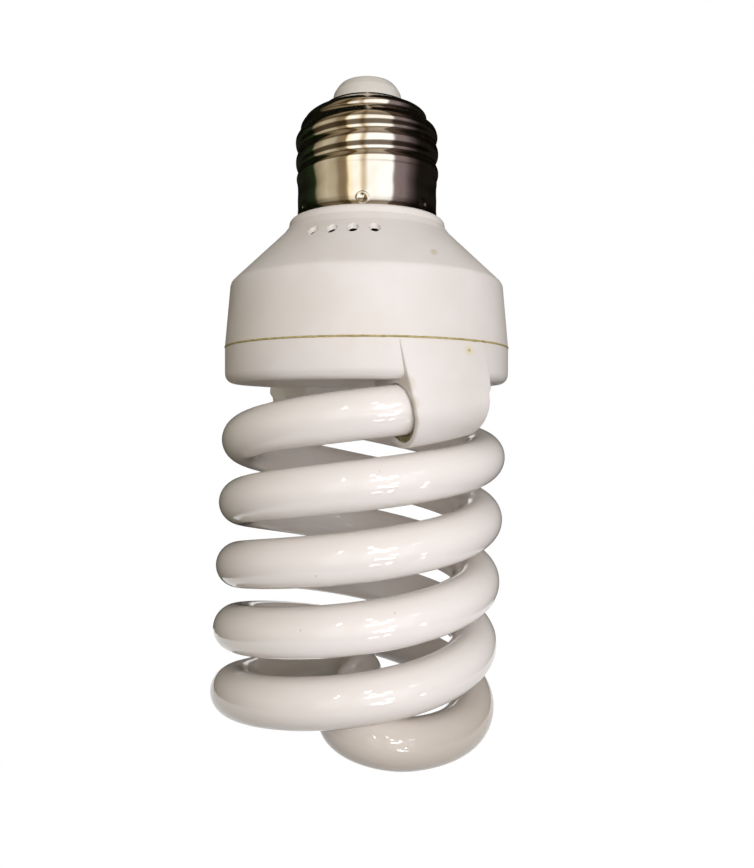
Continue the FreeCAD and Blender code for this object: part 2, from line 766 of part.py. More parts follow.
os.makedirs("parts", exist_ok=True)
tube = make_tube(coil_points())
shell = make_shell()
toroid = make_toroid()
pins = make_pins()
nodes = {
    "centre_contact": make_contact(),
    "cap_insulator": make_insulator(),
    "screw_shell": shell,
    "ballast_cover": make_cover(),
    "seam_adhesive": make_seam_adhesive(),
    "tube_holder": make_holder(),
    "spiral_tube": tube,
    "tube_cement": make_cement(tube),
    "circuit_board": make_board(),
    "bulk_capacitor": make_bulk_capacitor(),
    "choke_core": make_choke_core(),
    "choke_bobbin": make_choke_bobbin(),
    "choke_winding": make_choke_winding(),
    "drive_toroid": toroid,
    "drive_windings": make_toroid_windings(toroid),
    "switching_transistors": make_transistors(),
    "rectifier_diodes": make_diodes(),
    "resonant_capacitor": make_film_capacitor(film_capacitor_place, film_capacitor_size),
    "coupling_capacitor": make_film_capacitor(coupling_capacitor_place, coupling_capacitor_size),
    "fusible_resistor": make_fuse(),
    "line_choke_core": make_drum_core(),
    "line_choke_winding": make_drum_winding(),
    "start_diac": axial_part(*diac_place, 0.0, small_part_radius, small_part_length),
    "base_resistors": make_base_resistors(),
    "wrap_pins": pins,
    "filament_leads": make_filament_leads(tube, pins),
    "live_lead": make_live_lead(),
    "neutral_lead": make_neutral_lead(shell),
}
for name, shape in nodes.items():
    shape.exportStep("parts/" + name + ".step")
    print(name, len(shape.Solids), shape.isValid(), round(shape.Volume, 1))
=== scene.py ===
import math
import bmesh
import bpy
import numpy as np
from mathutils import Matrix


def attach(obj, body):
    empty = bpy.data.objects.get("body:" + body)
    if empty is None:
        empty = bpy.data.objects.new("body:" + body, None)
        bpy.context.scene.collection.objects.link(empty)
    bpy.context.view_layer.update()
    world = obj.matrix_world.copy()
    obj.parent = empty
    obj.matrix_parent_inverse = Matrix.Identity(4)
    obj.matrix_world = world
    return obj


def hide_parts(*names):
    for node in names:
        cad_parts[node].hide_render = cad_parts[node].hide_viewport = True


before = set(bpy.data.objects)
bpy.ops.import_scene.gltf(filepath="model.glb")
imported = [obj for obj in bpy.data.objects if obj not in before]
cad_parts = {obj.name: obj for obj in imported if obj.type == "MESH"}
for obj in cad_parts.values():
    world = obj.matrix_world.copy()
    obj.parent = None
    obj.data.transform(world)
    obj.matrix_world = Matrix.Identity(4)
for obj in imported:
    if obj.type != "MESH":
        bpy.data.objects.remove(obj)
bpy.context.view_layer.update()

# Sizes are in millimetres in the frame of the part: the contact's top is at zero, +Z is up and the front faces -Y.
# An azimuth is in degrees round the lamp's axis, zero at the front and growing towards +X.
mm = 0.001


# Helpers for colours, nodes, curves and surfaces

def hexColor(code):  # sRGB hex to the linear colour that a socket takes
    c = np.array([int(code[i:i + 2], 16) for i in (1, 3, 5)]) / 255.0
    linear = np.where(c <= 0.04045, c / 12.92, ((c + 0.055) / 1.055) ** 2.4)
    return (*linear.tolist(), 1.0)


def addNode(tree, kind, inputs=None, stops=(), **settings):
    # One node with its settings, its inputs set or linked, and the stops (place, hex) of its ramp if it has one
    node = tree.nodes.new(kind)
    for name, value in settings.items():
        setattr(node, name, value)
    for key, value in (inputs or {}).items():
        if isinstance(value, bpy.types.Node):
            value = value.outputs[0]
        if isinstance(value, bpy.types.NodeSocket):
            tree.links.new(value, node.inputs[key])
        else:
            node.inputs[key].default_value = value
    for i, (place, code) in enumerate(stops):
        element = node.color_ramp.elements[i] if i < 2 else node.color_ramp.elements.new(place)
        element.position = place
        element.color = hexColor(code)
    return node


def smoothCurve(x, knots, values):  # cubic through the knots, with slopes from each knot's two neighbours
    knots, values = np.asarray(knots, float), np.asarray(values, float)
    slopes = np.gradient(values, knots)
    i = np.clip(np.searchsorted(knots, x, side="right") - 1, 0, len(knots) - 2)
    step = knots[i + 1] - knots[i]
    t = np.clip((x - knots[i]) / step, 0.0, 1.0)
    return ((2 * t**3 - 3 * t**2 + 1) * values[i] + (t**3 - 2 * t**2 + t) * step * slopes[i]
            + (3 * t**2 - 2 * t**3) * values[i + 1] + (t**3 - t**2) * step * slopes[i + 1])


def smoothStep(x, low, high):  # 0 below low, 1 above high, eased between
    t = np.clip((x - low) / (high - low), 0.0, 1.0)
    return t * t * (3 - 2 * t)


def roundedOutline(corners, steps=6):  # corners (r, z, radius): each corner becomes an arc that touches both its sides
    points = []
    count = len(corners)
    for i, (r, z, radius) in enumerate(corners):
        corner = np.array([r, z])
        if radius == 0:
            points.append(corner[None])
            continue
        before = np.array(corners[i - 1][:2]) - corner
        after = np.array(corners[(i + 1) % count][:2]) - corner
        before, after = before / np.linalg.norm(before), after / np.linalg.norm(after)
        half = math.acos(np.clip(before @ after, -1, 1)) / 2
        centre = corner + (before + after) / np.linalg.norm(before + after) * radius / math.sin(half)
        start = corner + before * radius / math.tan(half) - centre
        end = corner + after * radius / math.tan(half) - centre
        sweep = math.pi - 2 * half
        turn = math.copysign(sweep, start[0] * end[1] - start[1] * end[0])
        a = math.atan2(start[1], start[0]) + np.linspace(0, turn, steps + 1)
        points.append(centre + radius * np.stack([np.cos(a), np.sin(a)], axis=1))
    return np.concatenate(points)


def fillOutline(points, spacing, closed=True):  # extra points on long sides, so that light and patterns run evenly
    ends = np.roll(points, -1, axis=0) if closed else points[1:]
    starts = points if closed else points[:-1]
    pieces = []
    for a, b in zip(starts, ends):
        count = max(1, int(np.linalg.norm(b - a) / spacing))
        pieces.append(a + (b - a) * np.linspace(0, 1, count, endpoint=False)[:, None])
    if not closed:
        pieces.append(points[-1:])
    return np.concatenate(pieces)


def turnedRows(profile, count):  # each (r, z) of the profile goes round the axis: x = r sin a, y = -r cos a
    a = np.linspace(0, 2 * math.pi, count, endpoint=False)
    r, z = profile[:, 0:1], profile[:, 1:2]
    return np.stack([r * np.sin(a), -r * np.cos(a), np.broadcast_to(z, (len(profile), count))], axis=-1)


def gridFaces(rows, columns, closed, offset=0):  # quads between neighbours in a grid whose columns go round
    index = np.arange(rows * columns).reshape(rows, columns) + offset
    lower = index if closed else index[:-1]
    upper = np.roll(index, -1, axis=0) if closed else index[1:]
    quads = np.stack([lower, np.roll(lower, -1, 1), np.roll(upper, -1, 1), upper], axis=-1)
    return quads.reshape(-1, 4)


def makePiece(name, grids, material, node=None, sharpAngle=None):
    # Each grid is (rows, closed). An open one is closed by a fan from the middle of each end. Rows are in mm, and the
    # object stays at the origin.
    points, faces, offset = [], [], 0
    for rows, closed in grids:
        n, m = rows.shape[:2]
        points.append(rows.reshape(-1, 3))
        faces += gridFaces(n, m, closed, offset).tolist()
        if not closed:
            ends = np.stack([rows[0].mean(axis=0), rows[-1].mean(axis=0)])
            points.append(ends)
            ring = np.arange(m)
            nextRing = np.roll(ring, -1)
            first, last = offset, offset + (n - 1) * m
            faces += np.stack([ring * 0 + offset + n * m, first + nextRing, first + ring], axis=-1).tolist()
            faces += np.stack([ring * 0 + offset + n * m + 1, last + ring, last + nextRing], axis=-1).tolist()
            offset += 2
        offset += n * m
    mesh = bpy.data.meshes.new(name)
    mesh.from_pydata((np.concatenate(points) * mm).tolist(), [], faces)
    piece = bpy.data.objects.new(name, mesh)
    bpy.context.scene.collection.objects.link(piece)
    tidyMesh(piece, sharpAngle)
    finishPiece(piece, material, node)
    return piece


def tidyMesh(piece, sharpAngle=None):  # doubles merged, faces turned outwards, smooth apart from real edges
    form = bmesh.new()
    form.from_mesh(piece.data)
    bmesh.ops.remove_doubles(form, verts=form.verts, dist=1e-7)
    bmesh.ops.recalc_face_normals(form, faces=form.faces)
    form.to_mesh(piece.data)
    form.free()
    piece.data.shade_smooth()
    if sharpAngle:
        piece.data.set_sharp_from_angle(angle=math.radians(sharpAngle))


def finishPiece(piece, material, node):  # its finish, its body and the CAD node that it stands for
    piece.data.materials.clear()
    piece.data.materials.append(material)
    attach(piece, "root")
    if node:
        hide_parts(node)


# Materials: each pattern is set by a real size in millimetres

def newMaterial(name):  # an empty material with its shader, its output and the object's own coordinates
    material = bpy.data.materials.new(name)
    material.use_nodes = True
    tree = material.node_tree
    tree.nodes.clear()
    shader = addNode(tree, "ShaderNodeBsdfPrincipled")
    addNode(tree, "ShaderNodeOutputMaterial", {"Surface": shader})
    place = addNode(tree, "ShaderNodeTexCoord").outputs["Object"]
    return material, tree, shader, place


def lumps(sizeMm):  # a noise scale that sets its lumps about sizeMm apart
    return 1.0 / (sizeMm * mm)


def addMarks(tree, place, color, marks):
    # Small round stains, each (x, y, z, radius in mm, hex, strength). Depth counts for less than width in the distance
    # from a stain's middle, so that it covers a curved wall as well.
    depthShare = 0.15
    flat = addNode(tree, "ShaderNodeMapping", {"Vector": place, "Scale": (1, depthShare, 1)})
    for x, y, z, radius, code, strength in marks:
        middle = (x * mm, y * mm * depthShare, z * mm)
        far = addNode(tree, "ShaderNodeVectorMath", {0: flat, 1: middle}, operation="DISTANCE")
        near = addNode(tree, "ShaderNodeMapRange", {
            "Value": far.outputs["Value"], "From Min": radius * mm * 0.5, "From Max": radius * mm, "To Min": strength,
            "To Max": 0.0})
        color = addNode(
            tree, "ShaderNodeMix", {0: near, 6: color, 7: hexColor(code)}, data_type="RGBA").outputs[2]
    return color


def mouldedPlastic(name, light, dark, roughness, marks=()):
    # Injection-moulded in a spark-eroded tool, which gives a soft sheen over a fine grain. It has yellowed in wide
    # patches and has a few stains. The real grain is finer than grainMm, which is as coarse as it needs to show.
    patchMm, wornMm, grainMm, grainDepthMm = 14.0, 5.0, 0.35, 0.012
    material, tree, shader, place = newMaterial(name)
    patches = addNode(tree, "ShaderNodeTexNoise", {"Vector": place, "Scale": lumps(patchMm), "Detail": 4.0})
    color = addNode(tree, "ShaderNodeValToRGB", {"Fac": patches}, stops=[(0.36, light), (0.70, dark)]).outputs[0]
    tree.links.new(addMarks(tree, place, color, marks), shader.inputs["Base Color"])
    worn = addNode(tree, "ShaderNodeTexNoise", {"Vector": place, "Scale": lumps(wornMm), "Detail": 3.0})
    rough = addNode(tree, "ShaderNodeMapRange", {
        "Value": worn, "From Min": 0.3, "From Max": 0.7, "To Min": roughness - 0.05, "To Max": roughness + 0.08})
    tree.links.new(rough.outputs[0], shader.inputs["Roughness"])
    grain = addNode(tree, "ShaderNodeTexNoise", {"Vector": place, "Scale": lumps(grainMm), "Detail": 2.0})
    bump = addNode(tree, "ShaderNodeBump", {"Height": grain, "Distance": grainDepthMm * mm, "Strength": 0.5})
    tree.links.new(bump.outputs[0], shader.inputs["Normal"])
    shader.inputs["IOR"].default_value = 1.5
    return material


def coatedGlass(name, marks):
    # Drawn tube, bent hot and coated inside with phosphor: it looks solid white under a sharp gloss that the bending
    # left slightly wavy. It carries specks of dust, and towards its foot the colour is painted darker and tan as
    # shade.
    cloudMm, dustMm, waveMm, waveDepthMm = 18.0, 1.1, 2.6, 0.05
    # painted shade: the heights in mm over which the colour darkens towards the tube's foot
    footShadeTop, footShadeBottom = -102, -119
    material, tree, shader, place = newMaterial(name)
    cloud = addNode(tree, "ShaderNodeTexNoise", {"Vector": place, "Scale": lumps(cloudMm), "Detail": 3.0})
    color = addNode(tree, "ShaderNodeValToRGB", {"Fac": cloud}, stops=[(0.3, "#F2EDEA"), (0.7, "#EDE8E3")])
    dust = addNode(tree, "ShaderNodeTexNoise", {"Vector": place, "Scale": lumps(dustMm), "Detail": 1.0})
    speck = addNode(tree, "ShaderNodeMapRange", {
        "Value": dust, "From Min": 0.78, "From Max": 0.83, "To Min": 0.0, "To Max": 0.4})
    dusty = addNode(
        tree, "ShaderNodeMix", {0: speck, 6: color, 7: hexColor("#9C948C")}, data_type="RGBA").outputs[2]
    height = addNode(tree, "ShaderNodeSeparateXYZ", {0: place}).outputs["Z"]
    # painted shade: the colour turns darker and tan down towards the foot, standing in for the shade that falls there
    paintedFootShade = addNode(tree, "ShaderNodeMapRange", {
        "Value": height, "From Min": footShadeTop * mm, "From Max": footShadeBottom * mm, "To Min": 0.0, "To Max": 1.0},
        interpolation_type="SMOOTHSTEP")
    footShadedColor = addNode(
        tree, "ShaderNodeMix", {0: paintedFootShade, 6: dusty, 7: hexColor("#BFB5A8")}, data_type="RGBA").outputs[2]
    tree.links.new(addMarks(tree, place, footShadedColor, marks), shader.inputs["Base Color"])
    shader.inputs["Roughness"].default_value = 0.05
    shader.inputs["IOR"].default_value = 1.5
    squeezed = addNode(tree, "ShaderNodeMapping", {"Vector": place, "Scale": (1.0, 1.0, 2.2)})
    wave = addNode(tree, "ShaderNodeTexNoise", {"Vector": squeezed, "Scale": lumps(waveMm), "Detail": 1.0})
    bump = addNode(tree, "ShaderNodeBump", {"Height": wave, "Distance": waveDepthMm * mm, "Strength": 0.35})
    tree.links.new(bump.outputs[0], shader.inputs["Normal"])
    return material


def nickelPlate(name):
    # Brass sheet, drawn and thread-rolled, then bright nickel-plated: a mirror with faint brown tarnish, streaks along
    # the draw and shallow marks from the rolls
    tarnishMm, streakMm, rollMm, rollDepthMm = 6.0, 1.2, 1.8, 0.02
    material, tree, shader, place = newMaterial(name)
    stain = addNode(tree, "ShaderNodeTexNoise", {"Vector": place, "Scale": lumps(tarnishMm), "Detail": 4.0})
    tarnish = addNode(tree, "ShaderNodeValToRGB", {"Fac": stain}, stops=[(0.42, "#E2DDD4"), (0.78, "#CDC2AE")])
    tree.links.new(tarnish.outputs[0], shader.inputs["Base Color"])
    shader.inputs["Metallic"].default_value = 1.0
    drawn = addNode(tree, "ShaderNodeMapping", {"Vector": place, "Scale": (1, 1, 0.15)})
    streaks = addNode(tree, "ShaderNodeTexNoise", {"Vector": drawn, "Scale": lumps(streakMm), "Detail": 5.0})
    rough = addNode(tree, "ShaderNodeMapRange", {
        "Value": streaks, "From Min": 0.3, "From Max": 0.7, "To Min": 0.07, "To Max": 0.15})
    tree.links.new(rough.outputs[0], shader.inputs["Roughness"])
    rolled = addNode(tree, "ShaderNodeMapping", {"Vector": place, "Scale": (1, 1, 0.35)})
    marks = addNode(tree, "ShaderNodeTexNoise", {"Vector": rolled, "Scale": lumps(rollMm), "Detail": 3.0})
    bump = addNode(tree, "ShaderNodeBump", {"Height": marks, "Distance": rollDepthMm * mm, "Strength": 0.07})
    tree.links.new(bump.outputs[0], shader.inputs["Normal"])
    return material


def plainFinish(name, light, dark, roughness, grainMm, depthMm, metallic=0.0, stretch=(1, 1, 1), coat=0.0):
    # Two close tones in lumps of grainMm, with a bump of depthMm from the same lumps, and wear in wider ones
    material, tree, shader, place = newMaterial(name)
    scaled = addNode(tree, "ShaderNodeMapping", {"Vector": place, "Scale": stretch})
    grain = addNode(tree, "ShaderNodeTexNoise", {"Vector": scaled, "Scale": lumps(grainMm), "Detail": 3.0})
    color = addNode(tree, "ShaderNodeValToRGB", {"Fac": grain}, stops=[(0.32, light), (0.7, dark)])
    tree.links.new(color.outputs[0], shader.inputs["Base Color"])
    shader.inputs["Metallic"].default_value = metallic
    shader.inputs["Coat Weight"].default_value = coat
    worn = addNode(tree, "ShaderNodeTexNoise", {"Vector": place, "Scale": lumps(grainMm * 2.5), "Detail": 2.0})
    rough = addNode(tree, "ShaderNodeMapRange", {
        "Value": worn, "From Min": 0.3, "From Max": 0.7, "To Min": roughness * 0.85, "To Max": roughness * 1.15})
    tree.links.new(rough.outputs[0], shader.inputs["Roughness"])
    bump = addNode(tree, "ShaderNodeBump", {"Height": grain, "Distance": depthMm * mm, "Strength": 0.6})
    tree.links.new(bump.outputs[0], shader.inputs["Normal"])
    return material


# The marks on the housing are two stains and the tan film inside the front horn's mouth
housingPlastic = mouldedPlastic("moulded white PBT", "#E8E4E1", "#E0DAD3", 0.36, [
    (10.8, -19.3, -35.0, 0.8, "#CDBF97", 0.55), (16.4, -20.4, -50.9, 1.0, "#DDD6A6", 0.5),
    (16.4, -20.4, -50.9, 0.35, "#B5A662", 0.8), (6.1, -24.5, -56.6, 1.7, "#C7B8A2", 0.4),
    (6.8, -24.5, -59.6, 1.5, "#C7B59C", 0.45), (7.2, -24.5, -62.4, 1.2, "#C9B99F", 0.4)])
beadPlastic = mouldedPlastic("moulded white urea resin", "#DCDAD3", "#D0CDC5", 0.28)
# The marks on the tube are two dark specks
tubeGlass = coatedGlass("phosphor-coated soda-lime glass", [
    (-12.4, -23.0, -95.0, 0.22, "#4A443E", 0.9), (-7.8, -24.9, -86.2, 0.2, "#6A625A", 0.7)])
capMetal = nickelPlate("nickel-plated rolled brass")
# Stamped brass, tinned by the solder that joins the lead: dull silver
contactMetal = plainFinish("tinned brass contact", "#C9C5BD", "#AAA59B", 0.3, 0.8, 0.02, 1.0)
# Silicone squeezed into the seam, yellowed by heat: satin and slightly lumpy
glueYellow = plainFinish("yellowed silicone adhesive", "#C9BC85", "#9A8B4E", 0.45, 0.9, 0.05)
# Filled cement, cured in an oven: gritty and matt
cementOlive = plainFinish("oven-cured lamp cement", "#8E855F", "#6F6748", 0.8, 0.35, 0.08)
insideFinishes = {
    # punched from pressed sheets of resin-soaked paper: even tan with a fine fibre
    "circuit_board": plainFinish("phenolic paper laminate", "#B98F4E", "#A67C3C", 0.5, 0.5, 0.01),
    # sleeve shrunk over a can: smooth, dark and fairly glossy
    "bulk_capacitor": plainFinish("shrunk PVC sleeve", "#1D1F26", "#15161B", 0.3, 3.0, 0.01),
    # pressed powder, fired: matt charcoal, slightly rough
    "choke_core": plainFinish("sintered ferrite", "#3A393B", "#2C2B2D", 0.6, 0.2, 0.02),
    "choke_bobbin": plainFinish("moulded nylon bobbin", "#2A2A2C", "#202022", 0.45, 0.4, 0.01),  # black, satin
    # wire laid side by side: fine ridges along the winding, under clear enamel
    "choke_winding": plainFinish("enamelled copper wire", "#B0623A", "#8E4524", 0.3, 0.25, 0.06, 1.0, (0.2, 0.2, 1)),
    "drive_toroid": plainFinish("sintered ferrite ring", "#363537", "#29282A", 0.6, 0.2, 0.02),  # charcoal, matt
    # thicker wire threaded through the ring: glossy copper with ridges up and down
    "drive_windings": plainFinish("enamelled hook-up wire", "#B4683E", "#8A4526", 0.3, 0.4, 0.08, 1.0, (1, 1, 0.2)),
    # moulded in smooth or sand-blasted tools, these two: near black, half matt
    "switching_transistors": plainFinish("moulded epoxy package", "#232325", "#1A1A1C", 0.5, 0.15, 0.01),
    "rectifier_diodes": plainFinish("moulded diode epoxy", "#222224", "#19191B", 0.45, 0.15, 0.01),
    # dipped in resin that flows before it sets, these two: rounded, glossy and uneven
    "resonant_capacitor": plainFinish("dipped red-brown epoxy", "#9A3A24", "#842D1A", 0.25, 1.5, 0.03, coat=0.4),
    "coupling_capacitor": plainFinish("dipped brown epoxy", "#8F3C22", "#7A2F1A", 0.25, 1.5, 0.03, coat=0.4),
    # lacquer rolled on: even and satin
    "fusible_resistor": plainFinish("green resistor lacquer", "#7E9A86", "#6C8974", 0.5, 0.6, 0.02),
    "line_choke_core": plainFinish("pressed ferrite drum", "#39383A", "#2B2A2C", 0.6, 0.2, 0.02),  # charcoal, matt
    # fine wire in layers: a ribbed copper sheen
    "line_choke_winding": plainFinish(
        "enamelled copper coil", "#AE5F37", "#8B4222", 0.3, 0.2, 0.06, 1.0, (0.2, 0.2, 1)),
    # lacquer over glass: smooth and glossy
    "start_diac": plainFinish("blue glass bead lacquer", "#5E7FA6", "#4D6C91", 0.3, 0.6, 0.01, coat=0.5),
    "base_resistors": plainFinish("tan resistor lacquer", "#CBB38B", "#BDA378", 0.45, 0.6, 0.02),  # even, satin
    # drawn wire, bright or dipped in tin, as the neutral lead too: silver-grey with faint draw marks
    "wrap_pins": plainFinish("tinned square pin", "#C6C3BB", "#A9A69E", 0.35, 0.4, 0.02, 1.0),
    "filament_leads": plainFinish("nickel lead wire", "#B9B4AA", "#9C978D", 0.35, 0.3, 0.01, 1.0),
    "live_lead": plainFinish("red PVC insulation", "#B3221C", "#9E1B16", 0.4, 1.0, 0.01),  # extruded, smooth satin
    "neutral_lead": plainFinish("tinned copper lead", "#C4BFB6", "#A7A299", 0.35, 0.3, 0.01, 1.0),
}
for nodeName, finish in insideFinishes.items():
    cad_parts[nodeName].data.materials.clear()
    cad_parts[nodeName].data.materials.append(finish)
print("materials made:", len(bpy.data.materials))


# Spiral tube: two strands half a turn apart, joined by an S-bend at the foot

spiral = dict(
    coilRadius=22.0, tubeRadius=4.12, pitch=22.67, startHeight=-61.9, endAzimuth=33.0, turns=2.25, runOn=62.3,
    bendRadius=8.1, easeLength=46.6, crossingRise=4.3, leanBack=-2.0, leanSide=2.5, shift=-0.3,
    ringSpacing=0.62, sides=56, sealRows=9, sealLength=0.8, sealTip=0.02)  # the seal's two sizes are in tube radii


def spiralHeight(a):  # a strand rises by one pitch a turn; a + pi / 2 is its azimuth from the back, in radians
    return spiral["startHeight"] + spiral["pitch"] * (a + math.pi / 2) / (2 * math.pi)


def spiralCentreLine():
    # Half of the line is a helix at the coil's radius. Its last length, measured by s, stays on that radius at first,
    # goes round a small arc that touches the coil's circle, and then straight to the axis, while its height eases
    # from the helix's slope to level. The other half is this one turned by 180 degrees.
    big, small, ease = spiral["coilRadius"], spiral["bendRadius"], spiral["easeLength"]
    turnStart = -math.pi / 2 - spiral["turns"] * 2 * math.pi - math.radians(spiral["runOn"])
    straight = math.sqrt((big - small) ** 2 - small ** 2)
    sweep = math.pi - math.atan2(straight, small)
    levelRun = ease - small * sweep - straight
    easeStart = turnStart + levelRun / big
    crossing = spiralHeight(turnStart) + spiral["crossingRise"]
    slope = spiral["pitch"] / (2 * math.pi * big)
    tubeEnd = math.radians(spiral["endAzimuth"]) - math.pi / 2
    a = np.linspace(tubeEnd, easeStart, int((tubeEnd - easeStart) * big / spiral["ringSpacing"]), endpoint=False)
    helix = np.stack([-big * np.cos(a), -big * np.sin(a), spiralHeight(a)], axis=1)
    s = np.linspace(0, ease, int(ease / spiral["ringSpacing"]) + 1)
    wide = easeStart - s / big
    tight = turnStart - np.clip((s - levelRun) / small, 0, sweep)
    left = np.clip((ease - s) / straight, 0, 1)
    arcX = (-(big - small) * math.cos(turnStart) - small * np.cos(tight)) * left
    arcY = (-(big - small) * math.sin(turnStart) - small * np.sin(tight)) * left
    x = np.where(s <= levelRun, -big * np.cos(wide), arcX)
    y = np.where(s <= levelRun, -big * np.sin(wide), arcY)
    t = s / ease
    z = ((2 * t**3 - 3 * t**2 + 1) * spiralHeight(easeStart) - (t**3 - 2 * t**2 + t) * slope * ease
         + (3 * t**2 - 2 * t**3) * crossing)
    half = np.concatenate([helix, np.stack([x, y, z], axis=1)])
    return np.concatenate([half, (half[:-1] * [-1, -1, 1])[::-1]])


def leanCoil(points):  # the coil sits a little crooked in its horns: it leans back and to the right about its start
    back, side = math.radians(spiral["leanBack"]), math.radians(spiral["leanSide"])
    turn = np.array(Matrix.Rotation(side, 3, "Y") @ Matrix.Rotation(back, 3, "X"))
    pivot = np.array([0, 0, spiral["startHeight"]])
    return (points - pivot) @ turn.T + pivot + [spiral["shift"], 0, 0]


def tubeRows(line, radius):
    # Circles square to the line, each spanned by the sideways and upward directions there. At both sealed ends they
    # shrink along a quarter of an ellipse, which makes rounded caps.
    along = np.gradient(line, axis=0)
    along /= np.linalg.norm(along, axis=1, keepdims=True)
    t = np.linspace(0, 1, spiral["sealRows"])[:, None] * math.pi / 2
    first = line[0] - along[0] * radius * spiral["sealLength"] * np.cos(t)
    last = line[-1] + along[-1] * radius * spiral["sealLength"] * np.sin(t)
    line = np.concatenate([first, line[1:-1], last])
    along = np.concatenate([np.repeat(along[:1], len(t), 0), along[1:-1], np.repeat(along[-1:], len(t), 0)])
    tip = spiral["sealTip"]
    size = np.concatenate([np.sin(t) + tip, np.ones((len(line) - 2 * len(t), 1)), np.cos(t) + tip]) * radius
    size = np.minimum(size, radius)
    side = np.cross(along, [0, 0, 1])
    side /= np.linalg.norm(side, axis=1, keepdims=True)
    up = np.cross(side, along)
    a = np.linspace(0, 2 * math.pi, spiral["sides"], endpoint=False)
    return (line[:, None] + size[:, None] * (
        np.cos(a)[None, :, None] * side[:, None] + np.sin(a)[None, :, None] * up[:, None]))


spiralLine = spiralCentreLine()
spiralTube = makePiece(
    "spiralTube", [(leanCoil(tubeRows(spiralLine, spiral["tubeRadius"])), False)], tubeGlass,
    "spiral_tube")
print("spiral tube:", len(spiralTube.data.polygons), "faces")


# Screw cap: rolled shell with its thread, bead and contact

cap = dict(
    crestHeights=-6.9, pitch=3.629, depth=0.44, domeDepth=0.5, domeStart=-10.0, domeEnd=-7.5, narrowing=1.5,
    threadStart=(5.0, 6.4), threadEnd=(17.3, 18.9), rimHeight=-25.7, mouthHeight=-4.5, sheet=0.35,
    dents=(-61.5, -3.5, 50.6, 112.0, 170.0, 229.0), dentHeight=-24.45, dentWidth=0.5, dentDepth=0.22,
    lipPlace=1.75, lipWidth=0.4, lipHeight=0.09, around=420, rows=190, rowEasing=0.28, insideStep=8,
    beadSpacing=0.5, beadAround=96, contactAround=72,
    # envelope of the crests: drop below the contact, and radius there
    crestDrops=(4.5, 4.65, 5.2, 5.5, 5.9, 6.15, 6.6, 7.1, 7.6, 8.1, 8.6, 9.6, 10.6, 12.6, 15.6, 17.7, 18.85, 19.4,
                22.0, 24.3, 25.1, 25.7),
    crestRadii=(6.6, 7.5, 8.5, 9.2, 10.0, 10.5, 11.0, 11.42, 11.73, 12.13, 12.52, 12.88, 13.15, 13.17, 13.17, 13.15,
                12.92, 12.85, 12.85, 12.88, 13.0, 13.2))


def shellSurface(z, azimuth):
    # The envelope, less the thread: a cosine along z whose phase gains one turn for each turn round, raised to a
    # power that makes the crests broad and the grooves narrow. It is deeper on the dome, and fades in at its top and
    # out at the skirt. Each crimp is a round dent with a low raised lip, a bell curve in the distance from its middle.
    crest = smoothCurve(-z, cap["crestDrops"], cap["crestRadii"])
    fade = smoothStep(-z, *cap["threadStart"]) * (1 - smoothStep(-z, *cap["threadEnd"]))
    depth = cap["depth"] + cap["domeDepth"] * smoothStep(z, cap["domeStart"], cap["domeEnd"])
    phase = (z - cap["crestHeights"]) / cap["pitch"] - azimuth / 360.0
    radius = crest - depth * fade * (0.5 - 0.5 * np.cos(2 * math.pi * phase)) ** cap["narrowing"]
    for place in cap["dents"]:
        gap = (azimuth - place + 180.0) % 360.0 - 180.0
        d = np.hypot(np.radians(gap) * crest, z - cap["dentHeight"]) / cap["dentWidth"]
        lip = cap["lipHeight"] * np.exp(-((d - cap["lipPlace"]) / cap["lipWidth"]) ** 2)
        radius = radius - cap["dentDepth"] * np.exp(-d ** 2) + lip
    return radius


def shellRows():
    # The outside from mouth to rim, in rows that lie closer together near the mouth, and back up inside at the
    # sheet's thickness in fewer rows
    azimuth = np.linspace(0, 360, cap["around"], endpoint=False)[None]
    t = np.linspace(0, 1, cap["rows"])[:, None]
    easing = cap["rowEasing"]
    z = cap["mouthHeight"] + (cap["rimHeight"] - cap["mouthHeight"]) * ((1 - easing) * t + easing * t ** 2)
    inside = z[::cap["insideStep"]]
    radius = np.concatenate([shellSurface(z, azimuth), (shellSurface(inside, azimuth) - cap["sheet"])[::-1]])
    height = np.concatenate([z, inside[::-1]]) + 0 * radius
    a = np.radians(azimuth)
    return np.stack([radius * np.sin(a), -radius * np.cos(a), height], axis=-1)


screwShell = makePiece("screwShell", [(shellRows(), True)], capMetal, "screw_shell", sharpAngle=60)

# Outlines from here on are corners (r, z, radius of the rounding), in mm
beadOutline = roundedOutline([
    (0.9, -1.1, 0), (3.0, -1.1, 0), (3.0, -0.62, 0), (3.15, -0.58, 0), (4.95, -0.62, 0.5), (5.45, -1.15, 0.5),
    (6.15, -2.2, 0.8), (6.5, -3.7, 0.8), (6.5, -5.75, 0), (9.0, -7.15, 0.3), (9.0, -8.75, 0.3), (0.9, -8.75, 0)])
beadRows = turnedRows(fillOutline(beadOutline, cap["beadSpacing"]), cap["beadAround"])
makePiece("capBead", [(beadRows, True)], beadPlastic, "cap_insulator", sharpAngle=50)

contactOutline = np.array([  # (r, z) of a low dome, from its top to its foot
    [0.02, 0.0], [1.0, -0.01], [1.8, -0.04], [2.3, -0.1], [2.7, -0.22], [2.93, -0.42], [2.98, -0.7], [2.98, -1.09],
    [0.02, -1.09]])
contactRows = turnedRows(contactOutline, cap["contactAround"])
makePiece(
    "centreContact", [(contactRows, False)], contactMetal, "centre_contact", sharpAngle=50)
print("screw cap:", len(screwShell.data.polygons), "faces")


# Upper housing: shoulder, cone and drafted wall, with two groups of vents

cover = dict(
    around=260, spacing=1.6, sharpAngle=40, ventAzimuths=(-31.0, -19.3, -7.6, 4.1), ventRing=17.6, ventRadius=0.94,
    ventTop=-27.5, ventFoot=-34.5)

